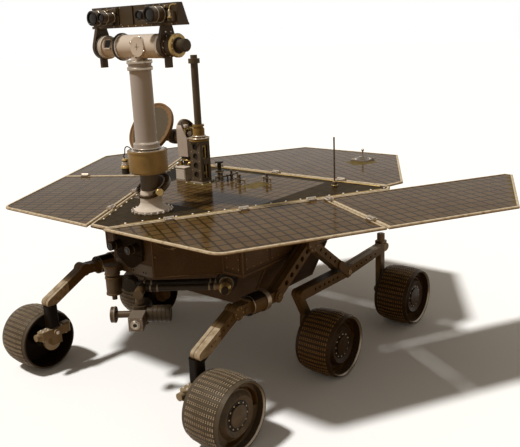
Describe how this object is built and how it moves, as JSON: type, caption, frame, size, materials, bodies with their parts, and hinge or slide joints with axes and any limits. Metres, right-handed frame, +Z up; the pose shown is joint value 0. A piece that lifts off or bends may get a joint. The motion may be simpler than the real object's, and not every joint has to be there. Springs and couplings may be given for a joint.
{
  "type": "six-wheeled planetary rover",
  "caption": "Solar-powered planetary rover with swept wing panels, camera mast, dish antenna, folded instrument arm and rocker-bogie wheels.",
  "frame": {"origin": "on the ground, under the middle of the overall box", "axes": "+Z up, -Y the rover's front, +X the rover's left"},
  "size_m": [2.2998, 1.78, 1.446],
  "materials": {
    "panel_cells": "glossy cells in a pale grid",
    "gold_body": "satin gold-brown",
    "arm_gold": "satin olive-gold",
    "wheel_metal": "matt, worn",
    "white_paint": "matt",
    "mast_paint": "satin",
    "dark_metal": "satin black",
    "bronze": "satin",
    "silver": "brushed",
    "dish_grey": "matt"
  },
  "bodies": {
    "chassis": {"body_box": "gold_body", "nose_box": "gold_body", "deck": "panel_cells", "wing_inner_left": "panel_cells", "wing_inner_right": "panel_cells", "wing_outer_left": "panel_cells", "wing_outer_right": "panel_cells", "tail_panel": "panel_cells", "panel_hinges": "white_paint", "hazard_cameras_front": "dark_metal", "hazard_cameras_rear": "dark_metal", "mast_base": "white_paint", "mast_ring": "bronze", "mast_drive": "bronze", "antenna_tower": "bronze", "antenna_pole": "dark_metal", "dish_post": "dark_metal", "whip_antenna": "dark_metal", "sundial": "silver", "rocker_left": "arm_gold", "rocker_right": "arm_gold", "bogie_left": "arm_gold", "bogie_right": "arm_gold", "arm_mount": "gold_body"},
    "mast": {"mast_tube": "mast_paint", "head_yoke": "mast_paint"},
    "camera_head": {"camera_bar": "white_paint", "pan_cameras": "silver", "nav_cameras": "dark_metal"},
    "dish_mount": {"dish_hood": "white_paint"},
    "dish_antenna": {"dish": "dish_grey"},
    "arm_shoulder": {"shoulder": "arm_gold"},
    "arm_upper": {"upper_arm": "arm_gold"},
    "arm_fore": {"forearm": "arm_gold"},
    "arm_wrist": {"wrist": "dark_metal"},
    "arm_turret": {"turret_hub": "silver", "tool_grinder": "bronze", "tool_microscope": "silver", "tool_contact": "white_paint", "tool_sensor": "dark_metal"},
    "wheel_front_left_body": {"wheel_front_left": "wheel_metal"},
    "knuckle_front_left_body": {"knuckle_front_left": "arm_gold"},
    "wheel_middle_left_body": {"wheel_middle_left": "wheel_metal"},
    "wheel_rear_left_body": {"wheel_rear_left": "wheel_metal"},
    "knuckle_rear_left_body": {"knuckle_rear_left": "arm_gold"},
    "wheel_front_right_body": {"wheel_front_right": "wheel_metal"},
    "knuckle_front_right_body": {"knuckle_front_right": "arm_gold"},
    "wheel_middle_right_body": {"wheel_middle_right": "wheel_metal"},
    "wheel_rear_right_body": {"wheel_rear_right": "wheel_metal"},
    "knuckle_rear_right_body": {"knuckle_rear_right": "arm_gold"}
  },
  "joints": [
    {"name": "steer_front_left", "type": "hinge", "parent": "chassis", "child": "knuckle_front_left_body", "pos_m": [0.415, -0.76, 0.204], "axis": [0, 0, 1], "range_deg": [-50, 50]},
    {"name": "spin_front_left", "type": "hinge", "parent": "knuckle_front_left_body", "child": "wheel_front_left_body", "pos_m": [0.53, -0.76, 0.13], "axis": [1, 0, 0], "continuous": true},
    {"name": "spin_middle_left", "type": "hinge", "parent": "chassis", "child": "wheel_middle_left_body", "pos_m": [0.53, -0.128, 0.13], "axis": [1, 0, 0], "continuous": true},
    {"name": "steer_rear_left", "type": "hinge", "parent": "chassis", "child": "knuckle_rear_left_body", "pos_m": [0.415, 0.489, 0.322], "axis": [0, 0, 1], "range_deg": [-50, 50]},
    {"name": "spin_rear_left", "type": "hinge", "parent": "knuckle_rear_left_body", "child": "wheel_rear_left_body", "pos_m": [0.53, 0.489, 0.13], "axis": [1, 0, 0], "continuous": true},
    {"name": "steer_front_right", "type": "hinge", "parent": "chassis", "child": "knuckle_front_right_body", "pos_m": [-0.415, -0.76, 0.204], "axis": [0, 0, 1], "range_deg": [-50, 50]},
    {"name": "spin_front_right", "type": "hinge", "parent": "knuckle_front_right_body", "child": "wheel_front_right_body", "pos_m": [-0.53, -0.76, 0.13], "axis": [1, 0, 0], "continuous": true},
    {"name": "spin_middle_right", "type": "hinge", "parent": "chassis", "child": "wheel_middle_right_body", "pos_m": [-0.53, -0.128, 0.13], "axis": [1, 0, 0], "continuous": true},
    {"name": "steer_rear_right", "type": "hinge", "parent": "chassis", "child": "knuckle_rear_right_body", "pos_m": [-0.415, 0.489, 0.322], "axis": [0, 0, 1], "range_deg": [-50, 50]},
    {"name": "spin_rear_right", "type": "hinge", "parent": "knuckle_rear_right_body", "child": "wheel_rear_right_body", "pos_m": [-0.53, 0.489, 0.13], "axis": [1, 0, 0], "continuous": true},
    {"name": "mast_pan", "type": "hinge", "parent": "chassis", "child": "mast", "pos_m": [0, -0.53, 0.932], "axis": [0, 0, 1], "range_deg": [-180, 180]},
    {"name": "head_tilt", "type": "hinge", "parent": "mast", "child": "camera_head", "pos_m": [0, -0.53, 1.305], "axis": [1, 0, 0], "range_deg": [-90, 104]},
    {"name": "dish_azimuth", "type": "hinge", "parent": "chassis", "child": "dish_mount", "pos_m": [-0.29, -0.02, 0.8], "axis": [0, 0, 1], "range_deg": [-130, 75]},
    {"name": "dish_elevation", "type": "hinge", "parent": "dish_mount", "child": "dish_antenna", "pos_m": [-0.399, -0.02, 0.885], "axis": [-1, 0, 0], "range_deg": [-34, 56]},
    {"name": "arm_azimuth", "type": "hinge", "parent": "chassis", "child": "arm_shoulder", "pos_m": [-0.09, -0.68, 0.425], "axis": [0, 0, 1], "range_deg": [-160, 0]},
    {"name": "arm_lift", "type": "hinge", "parent": "arm_shoulder", "child": "arm_upper", "pos_m": [-0.05293, -0.62299, 0.425], "axis": [-0.6046, 0.7965, 0], "range_deg": [0, 50]},
    {"name": "arm_elbow", "type": "hinge", "parent": "arm_upper", "child": "arm_fore", "pos_m": [0.26776, -0.42853, 0.425], "axis": [-0.6046, 0.7965, 0], "range_deg": [-55, 0]},
    {"name": "arm_wrist", "type": "hinge", "parent": "arm_fore", "child": "arm_wrist", "pos_m": [0.04389, -0.66123, 0.425], "axis": [0.6046, -0.7965, 0], "range_deg": [-10, 40]},
    {"name": "arm_turret", "type": "hinge", "parent": "arm_wrist", "child": "arm_turret", "pos_m": [0.06445, -0.68831, 0.386], "axis": [0, 0, 1], "range_deg": [-175, 175]}
  ]
}
